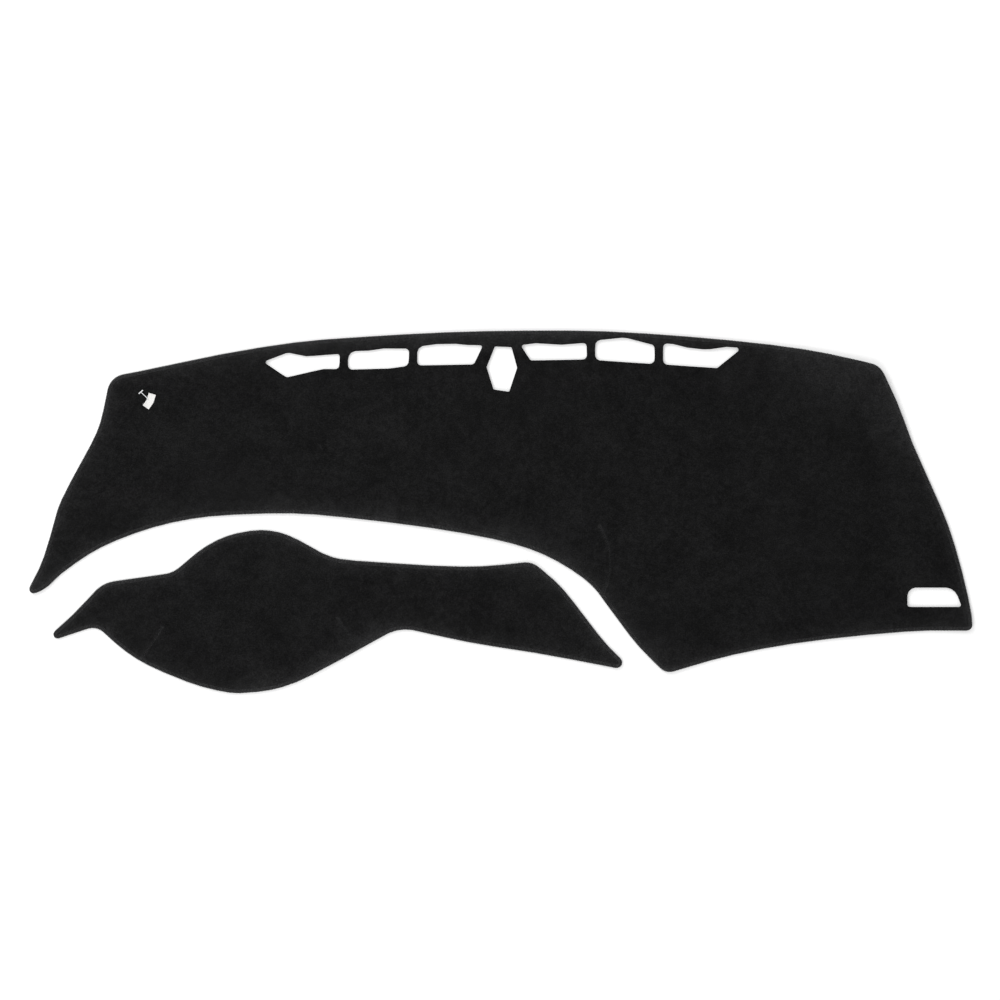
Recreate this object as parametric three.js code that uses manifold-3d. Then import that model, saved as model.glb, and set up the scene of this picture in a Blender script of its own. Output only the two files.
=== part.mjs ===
// Dashboard cover mat, cut from black felt in two pieces that lie flat side by side: a main mat for the
// top of the dashboard, and a hood mat for the hood over the instruments. Both have an overlocked edge.
// Millimetres, +Z up. X runs along the dashboard, Y towards the windshield, and z = 0 is the underside.

import * as THREE from 'three';
import { mergeVertices } from 'three/addons/utils/BufferGeometryUtils.js';
import Module from 'manifold-3d';

const wasm = await Module();
wasm.setup();

// Felt, edge binding and the gap between pieces that touch
const FELT_THICKNESS = 4;
const CLEARANCE = 0.3;
const BINDING_WIDTH = 5;
const BINDING_THREAD = 0.6;
const BINDING_EDGE = 0.8;
const BINDING_ROUNDING = 0.5;

// Corners of the main mat, before they are rounded
const LEFT_TIP = { x: -713.5, y: -126, radius: 7 };
const LEFT_SHOULDER = { x: -587, y: 203, radius: 30 };
const RIGHT_SHOULDER = { x: 569, y: 220, radius: 28 };
const RIGHT_CORNER = { x: 708.5, y: -178.5, radius: 9 };
const RECESS_APEX = { x: 248, y: -243, radius: 20 };

// How far each edge of the main mat stands off the straight line between its corners
const LEFT_EDGE_HOLLOW = 12;
const WINDSHIELD_EDGE_BOW = 60;
const RIGHT_EDGE_BOW = 18;
const LOWER_EDGE_HOLLOW = 18;
const RECESS_DEPTH = 175;

// Corners of the hood mat, before they are rounded
const HOOD_LEFT_TIP = { x: -695, y: -201, radius: 7 };
const HOOD_SHOULDER = { x: -597, y: -106, radius: 50 };
const HOOD_NOTCH = { x: -491, y: -91, radius: 42 };
const HOOD_RIGHT_SHOULDER = { x: 48, y: -74, radius: 30 };
const HOOD_RIGHT_TIP = { x: 202, y: -240, radius: 9 };
const HOOD_RIGHT_WAIST = { x: -152, y: -173, radius: 62 };
const HOOD_LEFT_WAIST = { x: -606, y: -171, radius: 24 };

// How far each edge of the hood mat stands off the straight line between its corners
const HOOD_LEFT_EDGE_HOLLOW = 3;
const HUMP_HEIGHT = 60;
const HOOD_RIGHT_EDGE_BOW = 5;
const HOOD_LOWER_EDGE_BOW = 3;
const BELLY_DEPTH = 101;

// Cut-outs along the windshield: bridges of felt between them, and how far behind the edge they lie
const VENT_BRIDGE = 12;
const SENSOR_BRIDGE = 5;
const VENT_SETBACK = 18;
const VENT_ROW_START = -356;

// Cut-out near the right corner, measured from that corner to its own lower right corner
const SIDE_CUTOUT_INSET = 16;
const SIDE_CUTOUT_RISE = 36;

// Darts that are sewn shut, with the thread let into the face of the felt
const DART_THREAD_WIDTH = 2;
const DART_THREAD_DEPTH = 0.5;
const MAIN_DART = { x: 156, y: -126, length: 107, lean: 90.5, bow: -14 };
const HOOD_LEFT_DART = { x: -541, y: -223, length: 61, lean: 55.5, bow: 0 };
const HOOD_RIGHT_DART = { x: -207, y: -204.5, length: 57, lean: 130, bow: 3 };

// Blank tag label, placed from the left shoulder's corner, and the plastic pin that holds it
const TAG_OFFSET = { x: 60, y: -36 };
const TAG_WIDTH = 11;
const TAG_LENGTH = 22.5;
const TAG_THICKNESS = 0.4;
const TAG_HEADING = 244;
const TAG_BEND = 1.7;
const TAG_HOLE_INSET = 1.8;
const PIN_REACH = 16;
const PIN_HEADING = 131;
const PIN_BEND = 1.2;
const PIN_DIAMETER = 0.9;
const PIN_BAR_LENGTH = 8.5;
const PIN_BAR_DIAMETER = 1.4;
const PIN_FOOT = 0.5;

// Fineness of the curves
const FINE_STEP = 2;
const CHORD_ERROR = 0.2;
const LONGEST_RUN = 60;
const SHARPEST_TURN = THREE.MathUtils.degToRad(22);
const ROUND_SIDES = 8;
const PIN_STEPS = 20;
const CAP_STEPS = 2;

// A fillet may take this share of the shorter edge beside it
const FILLET_SHARE = 0.45;

// How far a cutter runs past the face that it cuts
const CUT_MARGIN = 1;

// Edges in clockwise order, seen from above. Each starts at a corner, and its shape is a list of places
// as [share of the way to the next corner, share of the bow to the left of that way].
const mainEdges = [
  {
    corner: LEFT_TIP,
    bow: -LEFT_EDGE_HOLLOW,
    shape: [[0.15, 0.42], [0.3, 0.17], [0.4, -0.12], [0.5, 0.08], [0.6, 0.46], [0.78, 1], [0.92, 0.46]],
  },
  {
    corner: LEFT_SHOULDER,
    bow: WINDSHIELD_EDGE_BOW,
    shape: [
      [0.05, 0.17], [0.15, 0.54], [0.25, 0.81], [0.35, 0.925], [0.45, 0.995], [0.55, 1], [0.65, 0.95],
      [0.8, 0.7], [0.9, 0.44], [0.95, 0.24],
    ],
  },
  {
    corner: RIGHT_SHOULDER,
    bow: RIGHT_EDGE_BOW,
    shape: [[0.15, 0.36], [0.3, 0.45], [0.45, 0.75], [0.62, 1], [0.8, 0.8], [0.95, 0.34]],
  },
  {
    corner: RIGHT_CORNER,
    bow: -LOWER_EDGE_HOLLOW,
    shape: [[0.15, 0.55], [0.35, 0.89], [0.6, 1], [0.8, 0.72]],
  },
  {
    corner: RECESS_APEX,
    bow: -RECESS_DEPTH,
    shape: [
      [0.05, 0.22], [0.1, 0.505], [0.125, 0.65], [0.15, 0.745], [0.2, 0.87], [0.25, 0.94], [0.35, 0.99],
      [0.5, 1], [0.6, 0.98], [0.7, 0.9], [0.75, 0.84], [0.8, 0.75], [0.85, 0.625], [0.9, 0.46],
      [0.95, 0.215], [0.965, 0.11], [0.98, 0.045],
    ],
  },
];

const hoodEdges = [
  { corner: HOOD_LEFT_TIP, bow: -HOOD_LEFT_EDGE_HOLLOW, shape: [[0.5, 1]] },
  { corner: HOOD_SHOULDER },
  {
    corner: HOOD_NOTCH,
    bow: HUMP_HEIGHT,
    shape: [
      [0.05, 0.375], [0.1, 0.675], [0.15, 0.87], [0.2, 0.97], [0.25, 1], [0.3, 0.925], [0.35, 0.73],
      [0.4, 0.45], [0.45, 0.25], [0.5, 0.17], [0.6, 0.08], [0.7, -0.01], [0.85, -0.08],
    ],
  },
  {
    corner: HOOD_RIGHT_SHOULDER,
    bow: HOOD_RIGHT_EDGE_BOW,
    shape: [[0.25, 1.1], [0.55, 0], [0.75, -0.6]],
  },
  {
    corner: HOOD_RIGHT_TIP,
    bow: HOOD_LOWER_EDGE_BOW,
    shape: [[0.4, 0], [0.7, 1]],
  },
  {
    corner: HOOD_RIGHT_WAIST,
    bow: BELLY_DEPTH,
    shape: [
      [0.1, 0.255], [0.2, 0.505], [0.3, 0.745], [0.35, 0.845], [0.42, 0.94], [0.5, 0.985], [0.55, 0.99],
      [0.65, 0.9], [0.75, 0.74], [0.85, 0.535], [0.92, 0.325],
    ],
  },
  { corner: HOOD_LEFT_WAIST },
];

// Cut-outs from left to right, each with the bridge of felt that follows it. A corner is [distance from
// the left end of the cut-out, distance back from the front of the row, radius], in clockwise order.
const ventRow = [
  {
    width: 115,
    bridge: VENT_BRIDGE,
    corners: [
      [0, 29, 3], [37, 15, 15], [64, 21, 30], [115, 17, 4], [114, 40, 6], [91, 39.5, 40], [35, 52.5, 8],
    ],
  },
  {
    width: 92,
    bridge: VENT_BRIDGE,
    corners: [[0, 13, 13], [30, 12.5, 40], [52, 9, 40], [92, 9, 6], [91, 35, 8], [64, 39, 60], [0, 41, 7]],
  },
  {
    width: 99,
    bridge: SENSOR_BRIDGE,
    corners: [[0, 6.5, 11], [28, 2.5, 40], [59, 2, 40], [77, 4, 30], [99, 4, 3], [85, 33, 6], [0, 34.5, 6]],
  },
  {
    width: 46,
    bridge: SENSOR_BRIDGE,
    corners: [[12.5, 6, 1.5], [37.5, 7, 1.5], [46, 38, 2], [34, 74, 1.5], [10.5, 70.5, 1.5], [0, 37, 2]],
  },
  {
    width: 100,
    bridge: VENT_BRIDGE,
    corners: [[0, 4, 3], [23, 1, 25], [61, 3.5, 50], [99, 0.5, 5], [100, 25.5, 7], [15, 27, 5]],
  },
  {
    width: 90,
    bridge: VENT_BRIDGE,
    corners: [[0, -3, 9], [44, -7.5, 30], [89, 4, 6], [90, 32.5, 8], [0, 26.5, 8]],
  },
  {
    width: 119,
    bridge: 0,
    corners: [
      [0, 1.5, 6], [14, 2, 15], [34, 7.5, 60], [66, 11, 60], [94, 6.5, 40], [119, 8, 3.5], [81, 38.5, 4],
      [0, 33, 7],
    ],
  },
];

// Corners of the side cut-out as [distance left of its lower right corner, distance up, radius]
const sideCutout = [[82, 0, 4], [82, 29, 18], [11, 29, 22], [0, 0, 3]];

// The pin's filament from its bar to the hole, as shares of its reach, its bend and its climb
const pinRoute = [[1, 0, 0], [0.6, 0.4, 0.5], [0.25, 1, 1], [0.08, 0.5, 1]];

const felt = new THREE.MeshStandardMaterial({ color: 0x1b1b1b, roughness: 0.95, metalness: 0 });
const thread = new THREE.MeshStandardMaterial({ color: 0x232324, roughness: 0.85, metalness: 0 });
const seamThread = new THREE.MeshStandardMaterial({ color: 0x2c2c2e, roughness: 0.8, metalness: 0 });
const label = new THREE.MeshStandardMaterial({ color: 0xf2f1ee, roughness: 0.7, metalness: 0 });
const plastic = new THREE.MeshStandardMaterial({ color: 0xdfe3e6, roughness: 0.35, metalness: 0 });

function direction(degrees) {
  const angle = THREE.MathUtils.degToRad(degrees);
  return new THREE.Vector2(Math.cos(angle), Math.sin(angle));
}

function leftOf(heading) {
  return new THREE.Vector2(-heading.y, heading.x);
}

function flat(place) {
  return new THREE.Vector3(place.x, place.y, 0);
}

// A smooth curve through places seen from above
function smoothCurve(places) {
  return new THREE.CatmullRomCurve3(places.map(flat));
}

function edgeCurve(edge, next) {
  const start = new THREE.Vector2(edge.corner.x, edge.corner.y);
  const end = new THREE.Vector2(next.corner.x, next.corner.y);
  const way = end.clone().sub(start);
  const left = leftOf(way.clone().normalize());
  const bow = edge.bow ?? 0;
  const between = (edge.shape ?? []).map(([share, height]) => (
    start.clone().addScaledVector(way, share).addScaledVector(left, height * bow)
  ));
  return smoothCurve([start, ...between, end]);
}

// A round bend from one place and heading to another, with handles that keep it close to a circle
function bendCurve(start, startHeading, end, endHeading) {
  const turn = startHeading.angleTo(endHeading);
  const radius = start.distanceTo(end) / (2 * Math.sin(turn / 2));
  const handle = (4 / 3) * Math.tan(turn / 4) * radius;
  return new THREE.CubicBezierCurve3(
    start,
    start.clone().addScaledVector(startHeading, handle),
    end.clone().addScaledVector(endHeading, -handle),
    end,
  );
}

// A place on a curve with its heading there
function stationAt(curve, share) {
  const point = curve.getPointAt(share);
  const heading = curve.getTangentAt(share);
  return { point: new THREE.Vector2(point.x, point.y), heading: new THREE.Vector2(heading.x, heading.y) };
}

// Stations from one share of a curve up to another, without the last
function stationsOn(curve, from = 0, to = 1) {
  const steps = Math.max(ROUND_SIDES, Math.ceil((curve.getLength() * (to - from)) / FINE_STEP));
  return Array.from({ length: steps }, (_, step) => stationAt(curve, from + ((to - from) * step) / steps));
}

// Only the stations that the curve needs: many on a tight bend, few on a long sweep. An arc stands off
// its chord by an eighth of its length times its turn.
function thinned(stations) {
  const kept = [stations[0]];
  for (const station of stations) {
    const last = kept.at(-1);
    const run = last.point.distanceTo(station.point);
    const turn = last.heading.angleTo(station.heading);
    if ((run * turn) / 8 > CHORD_ERROR || turn > SHARPEST_TURN || run > LONGEST_RUN) {
      kept.push(station);
    }
  }
  return kept;
}

// A closed outline of edges with rounded corners. The least radius is what a binding's width needs.
function outlineOf(edges, leastRadius = 0) {
  const count = edges.length;
  const curves = edges.map((edge, index) => edgeCurve(edge, edges[(index + 1) % count]));
  const trims = edges.map((edge, index) => {
    const before = curves.at(index - 1);
    const after = curves[index];
    const turn = before.getTangentAt(1).angleTo(after.getTangentAt(0));
    const reach = Math.max(edge.corner.radius, leastRadius) * Math.tan(turn / 2);
    return Math.min(reach, FILLET_SHARE * before.getLength(), FILLET_SHARE * after.getLength());
  });
  const stations = curves.flatMap((curve, index) => {
    const next = (index + 1) % count;
    const start = trims[index] / curve.getLength();
    const end = 1 - trims[next] / curve.getLength();
    const nextStart = trims[next] / curves[next].getLength();
    const bend = bendCurve(
      curve.getPointAt(end),
      curve.getTangentAt(end),
      curves[next].getPointAt(nextStart),
      curves[next].getTangentAt(nextStart),
    );
    return [...stationsOn(curve, start, end), ...stationsOn(bend)];
  });
  return thinned(stations);
}

// The outline drawn in by a distance, square to itself
function inset(outline, distance) {
  return outline.map(({ point, heading }) => point.clone().addScaledVector(leftOf(heading), -distance));
}

// The outline of a band of even width along a curve
function ribbon(curve, width) {
  const stations = [...thinned(stationsOn(curve)), stationAt(curve, 1)];
  return [...inset(stations, width / 2), ...inset(stations, -width / 2).reverse()];
}

function solidOf(geometry) {
  geometry.deleteAttribute('normal');
  geometry.deleteAttribute('uv');
  const merged = mergeVertices(geometry);
  return new wasm.Manifold(new wasm.Mesh({
    numProp: 3,
    vertProperties: merged.attributes.position.array,
    triVerts: new Uint32Array(merged.index.array),
  }));
}

// A flat plate between two heights, with its edges broken where a rounding is given
function plate(points, bottom, top, rounding = 0) {
  const geometry = new THREE.ExtrudeGeometry(new THREE.Shape(points), {
    depth: top - bottom - 2 * rounding,
    bevelEnabled: rounding > 0,
    bevelThickness: rounding,
    bevelSize: rounding,
    bevelOffset: -rounding,
    bevelSegments: 1,
  });
  geometry.translate(0, 0, bottom + rounding);
  return solidOf(geometry);
}

function cutter(points, bottom = -CUT_MARGIN) {
  return plate(points, bottom, FELT_THICKNESS + CUT_MARGIN);
}

// Felt whose rim is pressed thin, so that the binding lies flush with both of its faces
function boundFelt(outline) {
  const pressed = BINDING_THREAD + CLEARANCE;
  const face = plate(inset(outline, BINDING_WIDTH + CLEARANCE), 0, FELT_THICKNESS);
  const rim = plate(inset(outline, BINDING_EDGE + CLEARANCE), pressed, FELT_THICKNESS - pressed);
  return face.add(rim);
}

// Overlock thread that wraps the rim over its top, edge and underside
function bindingOf(outline) {
  const wrap = plate(inset(outline, 0), 0, FELT_THICKNESS, BINDING_ROUNDING);
  const inside = plate(inset(outline, BINDING_EDGE), BINDING_THREAD, FELT_THICKNESS - BINDING_THREAD);
  return wrap.subtract(cutter(inset(outline, BINDING_WIDTH))).subtract(inside);
}

// The place on an outline that is nearest to a wanted one
function nearestOn(outline, wanted) {
  const target = flat(wanted);
  const nearest = outline.map(({ point }, index) => {
    const next = outline[(index + 1) % outline.length].point;
    const side = new THREE.Line3(flat(point), flat(next));
    return side.closestPointToPoint(target, true, new THREE.Vector3());
  });
  nearest.sort((a, b) => a.distanceTo(target) - b.distanceTo(target));
  return new THREE.Vector2(nearest[0].x, nearest[0].y);
}

// A curve from a dart's foot on the mat's edge to its blind end inside the mat
function dartCurve(outline, dart) {
  const foot = nearestOn(outline, dart);
  const way = direction(dart.lean);
  const middle = foot.clone().addScaledVector(way, dart.length / 2).addScaledVector(leftOf(way), dart.bow);
  return smoothCurve([foot, middle, foot.clone().addScaledVector(way, dart.length)]);
}

function dartGroove(curve) {
  const width = DART_THREAD_WIDTH + 2 * CLEARANCE;
  return cutter(ribbon(curve, width), FELT_THICKNESS - DART_THREAD_DEPTH - CLEARANCE);
}

// The thread of a dart stops short of the groove's blind end, and at the binding
function dartThread(outline, curve) {
  const face = plate(inset(outline, BINDING_WIDTH + CLEARANCE), 0, FELT_THICKNESS);
  const seam = plate(ribbon(curve, DART_THREAD_WIDTH), FELT_THICKNESS - DART_THREAD_DEPTH, FELT_THICKNESS);
  return seam.intersect(face);
}

// Edges of a cut-out through its corners, with straight lines between them
function cutoutOutline(corners) {
  return inset(outlineOf(corners.map(([x, y, radius]) => ({ corner: { x, y, radius } }))), 0);
}

function ventCutters(outline) {
  const frontY = Math.max(...outline.map(({ point }) => point.y)) - VENT_SETBACK;
  let left = VENT_ROW_START;
  return ventRow.map(({ width, bridge, corners }) => {
    const start = left;
    left += width + bridge;
    return cutter(cutoutOutline(corners.map(([x, back, radius]) => [start + x, frontY - back, radius])));
  });
}

function sideCutter() {
  const x = RIGHT_CORNER.x - SIDE_CUTOUT_INSET;
  const y = RIGHT_CORNER.y + SIDE_CUTOUT_RISE;
  return cutter(cutoutOutline(sideCutout.map(([left, up, radius]) => [x - left, y + up, radius])));
}

// Where the tag lies: the middle of its long axis, that axis, and the hole at its left side
function tagPlace() {
  const middle = new THREE.Vector2(LEFT_SHOULDER.x + TAG_OFFSET.x, LEFT_SHOULDER.y + TAG_OFFSET.y);
  const axis = direction(TAG_HEADING);
  const leftSide = TAG_WIDTH / 2 - TAG_BEND - TAG_HOLE_INSET;
  return { middle, axis, hole: middle.clone().addScaledVector(leftOf(axis), -leftSide) };
}

function circle(centre, diameter) {
  return Array.from({ length: ROUND_SIDES }, (_, side) => (
    direction((360 * side) / ROUND_SIDES).multiplyScalar(diameter / 2).add(centre)
  ));
}

// A hole for the pin through the label and the felt under it
function pinHole(centre) {
  const top = FELT_THICKNESS + CLEARANCE + TAG_THICKNESS + CUT_MARGIN;
  return plate(circle(centre, PIN_DIAMETER + 2 * CLEARANCE), -CUT_MARGIN, top);
}

function tagLabel() {
  const { middle, axis, hole } = tagPlace();
  const bottom = FELT_THICKNESS + CLEARANCE;
  const curve = smoothCurve([
    middle.clone().addScaledVector(axis, -TAG_LENGTH / 2),
    middle.clone().addScaledVector(leftOf(axis), TAG_BEND),
    middle.clone().addScaledVector(axis, TAG_LENGTH / 2),
  ]);
  return plate(ribbon(curve, TAG_WIDTH), bottom, bottom + TAG_THICKNESS).subtract(pinHole(hole));
}

// The pin's bar lies on the felt. Its filament passes over the label and down through both holes.
function tagPin() {
  const { hole } = tagPlace();
  const reach = direction(PIN_HEADING);
  const barHeight = FELT_THICKNESS + CLEARANCE + PIN_BAR_DIAMETER / 2;
  const overLabel = FELT_THICKNESS + TAG_THICKNESS + 2 * CLEARANCE + PIN_DIAMETER;
  const over = pinRoute.map(([share, bend, climb]) => {
    const place = hole.clone().addScaledVector(reach, share * PIN_REACH);
    place.addScaledVector(leftOf(reach), -bend * PIN_BEND);
    return flat(place).setZ(THREE.MathUtils.lerp(barHeight, overLabel, climb));
  });
  const down = [FELT_THICKNESS + TAG_THICKNESS, FELT_THICKNESS / 2, PIN_FOOT].map((z) => flat(hole).setZ(z));
  const section = new THREE.Shape(circle(new THREE.Vector2(), PIN_DIAMETER));
  const extrudePath = new THREE.CatmullRomCurve3([...over, ...down]);
  const filament = solidOf(new THREE.ExtrudeGeometry(section, { steps: PIN_STEPS, extrudePath }));
  const shaft = PIN_BAR_LENGTH - PIN_BAR_DIAMETER;
  const bar = new THREE.CapsuleGeometry(PIN_BAR_DIAMETER / 2, shaft, CAP_STEPS, ROUND_SIDES);
  bar.rotateZ(THREE.MathUtils.degToRad(PIN_HEADING));
  bar.translate(...over[0]);
  return filament.add(solidOf(bar));
}

function meshOf(name, solid, material) {
  const { vertProperties, triVerts } = solid.getMesh();
  const geometry = new THREE.BufferGeometry();
  geometry.setAttribute('position', new THREE.BufferAttribute(new Float32Array(vertProperties), 3));
  geometry.setIndex(new THREE.BufferAttribute(new Uint32Array(triVerts), 1));
  geometry.computeVertexNormals();
  const mesh = new THREE.Mesh(geometry, material);
  mesh.name = name;
  return mesh;
}

function buildMainMat() {
  const outline = outlineOf(mainEdges, BINDING_WIDTH + 2 * CLEARANCE);
  const dart = dartCurve(outline, MAIN_DART);
  const holes = [...ventCutters(outline), sideCutter(), dartGroove(dart), pinHole(tagPlace().hole)];
  const sheet = holes.reduce((solid, hole) => solid.subtract(hole), boundFelt(outline));
  const group = new THREE.Group();
  group.add(
    meshOf('main_mat', sheet, felt),
    meshOf('main_mat_binding', bindingOf(outline), thread),
    meshOf('main_mat_dart_seam', dartThread(outline, dart), seamThread),
    meshOf('tag_label', tagLabel(), label),
    meshOf('tag_pin', tagPin(), plastic),
  );
  return group;
}

function buildHoodMat() {
  const outline = outlineOf(hoodEdges, BINDING_WIDTH + 2 * CLEARANCE);
  const leftDart = dartCurve(outline, HOOD_LEFT_DART);
  const rightDart = dartCurve(outline, HOOD_RIGHT_DART);
  const sheet = boundFelt(outline).subtract(dartGroove(leftDart)).subtract(dartGroove(rightDart));
  const group = new THREE.Group();
  group.add(
    meshOf('hood_mat', sheet, felt),
    meshOf('hood_mat_binding', bindingOf(outline), thread),
    meshOf('hood_mat_left_dart_seam', dartThread(outline, leftDart), seamThread),
    meshOf('hood_mat_right_dart_seam', dartThread(outline, rightDart), seamThread),
  );
  return group;
}

const dashboardMat = new THREE.Group();
dashboardMat.add(buildMainMat(), buildHoodMat());

export default dashboardMat;
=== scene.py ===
"""Looks of a two-piece dashboard cover mat of black felt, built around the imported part. Metres, +Z up.

Outlines, cut-outs and seams are read from the frame's own meshes, so every visible piece lies where its
solid is. Lengths inside the functions are millimetres, and each mesh is turned into metres as it is made.
"""

import math

import bpy
import numpy as np
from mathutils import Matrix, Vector
from mathutils.geometry import delaunay_2d_cdt
from mathutils.kdtree import KDTree


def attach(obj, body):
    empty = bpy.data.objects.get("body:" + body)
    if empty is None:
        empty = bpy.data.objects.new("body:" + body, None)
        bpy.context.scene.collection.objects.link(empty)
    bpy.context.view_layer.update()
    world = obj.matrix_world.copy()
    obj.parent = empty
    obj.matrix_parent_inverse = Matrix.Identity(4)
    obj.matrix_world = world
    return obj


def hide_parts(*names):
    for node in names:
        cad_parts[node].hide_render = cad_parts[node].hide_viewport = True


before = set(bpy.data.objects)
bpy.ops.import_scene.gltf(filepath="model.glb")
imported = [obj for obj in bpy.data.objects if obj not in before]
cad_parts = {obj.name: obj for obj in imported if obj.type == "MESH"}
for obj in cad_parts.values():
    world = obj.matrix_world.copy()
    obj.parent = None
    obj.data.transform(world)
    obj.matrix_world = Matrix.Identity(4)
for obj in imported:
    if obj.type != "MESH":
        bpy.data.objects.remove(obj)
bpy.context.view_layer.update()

MM = 0.001
UP = np.array([0.0, 0.0, 1.0])

# Reading the frame's meshes: what counts as one height, the least area of a cut-out, the least number of
# points on a loop and the spacing of those on a strip
LEVEL_TOLERANCE = 0.02
LEAST_CUTOUT = 20.0
LEAST_POINTS = 12
STRIP_STEP = 0.25

# Height of the binding's outer wall at its foot
WALL_FOOT = 0.5

# Sheet of felt: its top, the spacing of its points, how far its outline's small corners are softened and
# how near two points count as one
FELT_TOP = 4.0
GRID_STEP = 4.4
GRID_CLEARANCE = 0.62 * GRID_STEP
RIM_STEP = 2.0
RIM_SOFTENING = 1.3
SAME_POINT = 1e-5

# An inset line folds over at a tip where it lies nearer its outline than this share of the inset, or
# where it gains less than this on the way along
TIP_SHARE = 0.97
LEAST_STRIDE = 0.2

# Felt's edge from its top face round to its underside, as distance in from the outline and height. The
# outer edge is squeezed by the thread round it, and a cut-out has a bare cut edge with a soft lip.
BOUND_EDGE = [
    (6.1, 4.0), (5.7, 3.9), (5.2, 3.5), (4.4, 3.3), (3.0, 3.15), (1.3, 2.95), (0.7, 2.5), (0.5, 2.0),
    (0.7, 1.4), (1.3, 0.95), (3.0, 0.8), (5.0, 0.45), (6.1, 0.0),
]
CUT_EDGE = [(1.4, 4.0), (0.6, 3.93), (0.15, 3.6), (0.0, 2.9), (0.05, 1.2), (0.0, 0.3), (1.4, 0.0)]

# Overlock thread: one turn round the edge, as share of the pitch, distance in and height
THREAD_PITCH = 2.2
THREAD_RADIUS = 0.58
THREAD_TURN = [
    (0.00, 5.5, 3.0), (0.08, 4.7, 3.72), (0.22, 2.7, 3.72), (0.36, 0.8, 3.3),
    (0.46, 0.3, 2.0), (0.56, 0.8, 0.85), (0.72, 2.9, 0.62), (0.92, 5.0, 0.75),
]
THREAD_SIDES = 6

# Unevenness of real stitches: the reach of a turn where it lies deep in the felt, as a share, and the
# height of its crest
UNEVEN_REACH = 0.05
DEEP_FROM = 4.0
UNEVEN_CREST = 0.06
CREST_FROM = 3.5

# Row of needle stitches beside the overlock thread
NEEDLE_INSET = 5.55
NEEDLE_STITCH = 3.3
NEEDLE_STEP = 1.1
NEEDLE_LEVEL = 3.72
NEEDLE_RISE = 0.42
NEEDLE_FULLNESS = 0.7
NEEDLE_RADIUS = 0.3
NEEDLE_SIDES = 5

# Painted sheen: felt painted paler along the rim, over the darts and where the sheet is raised, where real
# felt would catch more light, as shares of the painted sheen tone, and how far each reaches. A dart's painted
# sheen is stronger at its ends than along its middle.
RIM_PAINTED_SHEEN = 0.9
RIM_FADE = 4.0
BAND_PAINTED_SHEEN = 0.16
BAND_REACH = 32.0
LIFT_PAINTED_SHEEN = 0.32
TIP_PAINTED_SHEEN = 0.14
SEAM_PAINTED_SHEEN = 0.75
SEAM_MIDDLE = 0.3
SEAM_ENDS = 4
SEAM_FADE = 2.4

# Darts sewn shut: rows of points beside the seam, the line that it presses in the felt and the low
# shoulder on each side of that line
SEAM_ROWS = [0.0, 0.5, 1.0, 1.6, 2.4, 3.6]
SEAM_STEP = 1.6
SEAM_CLEARANCE = 0.5 * SEAM_STEP
SEAM_DEPTH = 0.75
SEAM_HALF_WIDTH = 0.8
SHOULDER_HEIGHT = 0.3
SHOULDER_PLACE = 2.2
SHOULDER_WIDTH = 1.1

# Stitches from side to side across a dart
ZIGZAG_PITCH = 2.8
ZIGZAG_REACH = 1.35
ZIGZAG_LEVEL = 3.55
ZIGZAG_RISE = 0.5
ZIGZAG_FULLNESS = 0.6
ZIGZAG_RADIUS = 0.26
ZIGZAG_SIDES = 6
LEG_POINTS = 5
LEAST_LEGS = 4

# Slow waves of felt that isn't quite flat
WAVE_COUNT = 9
WAVE_LENGTHS = (140, 420)
WAVE_HEIGHT = 0.55
WAVE_SPREAD = 3
WAVE_RAISE = 0.4

# Where each mat stands off the floor. At an edge: the middle, its reach along and into the felt, and the
# height. At a corner: the place, its reach and the height.
MAIN_EDGE_LIFTS = [((0, 270), 620, 34, 3.2), ((520, 215), 260, 60, 2.5)]
MAIN_CORNER_LIFTS = [
    ((560, 215), 190, 4.0), ((-705, -124), 90, 2.4), ((704, -176), 80, 2.2), ((248, -235), 90, 2.0),
]
HOOD_EDGE_LIFTS = [((-240, -270), 240, 30, 1.4)]
HOOD_CORNER_LIFTS = [((-690, -200), 80, 2.0), ((198, -238), 90, 2.2), ((48, -80), 70, 1.2)]

# Limp tape of the label: its flat size in metres, its points, and how it curls up at its two ends, cups
# across its width and ripples
LABEL_ROWS = 61
LABEL_COLUMNS = 31
LABEL_CLEARANCE = 0.35
LABEL_THICKNESS = 0.32
LABEL_FAR_CURL = 0.75
LABEL_NEAR_CURL = 0.55
LABEL_CUP = 0.8
LABEL_CUP_MIDDLE = 0.4
LABEL_RIPPLE = 0.18
LABEL_RIPPLE_TURN = 3.4 * math.pi
LABEL_RIPPLE_SLANT = 2

# Moulding of the pin: its edges are round and full
PIN_SWELL = 0.18
PIN_VOXEL = 0.14
PIN_SMOOTHING = 6

# Tones of the felt from its darkest grain to its lightest, plain and with painted sheen where it is paler
GRAIN_STOPS = (0.4, 0.52, 0.64)
FELT_TONES = (0.0038, 0.0078, 0.0165)
PAINTED_SHEEN_TONES = (0.013, 0.026, 0.05)

# Fibres of the felt: the directions they lie in and how finely the noise is drawn along each axis
HAIR_TURNS = (0.1, 0.9, 1.8, 2.6)
HAIR_STRETCH = (240, 520, 380)
HAIR_HALF_WIDTH = 0.012
FIBRE_TURNS = (0.35, 1.25, 2.15, 2.85)
FIBRE_STRETCH = (260, 1500, 900)

# Direction of the label's yarns
WEAVE_TURN = 0.46

# Tint of the soft sheen on felt and thread
SHEEN_TINT = (0.8, 0.8, 0.84, 1)

# Light: the sky's strength, and each lamp's name, place, side in metres and watts
SKY_STRENGTH = 0.52
LAMPS = (
    ("panel_front", (-1.3, -2.3, 2.5), 2.2, 44),
    ("panel_back", (-1.6, 2.2, 2.0), 2.2, 58),
)

# White floor: its side and how far it lies below the part, in metres, and its glow
FLOOR_SIDE = 40
FLOOR_DROP = 0.0003
FLOOR_GLOW = 0.27


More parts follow.
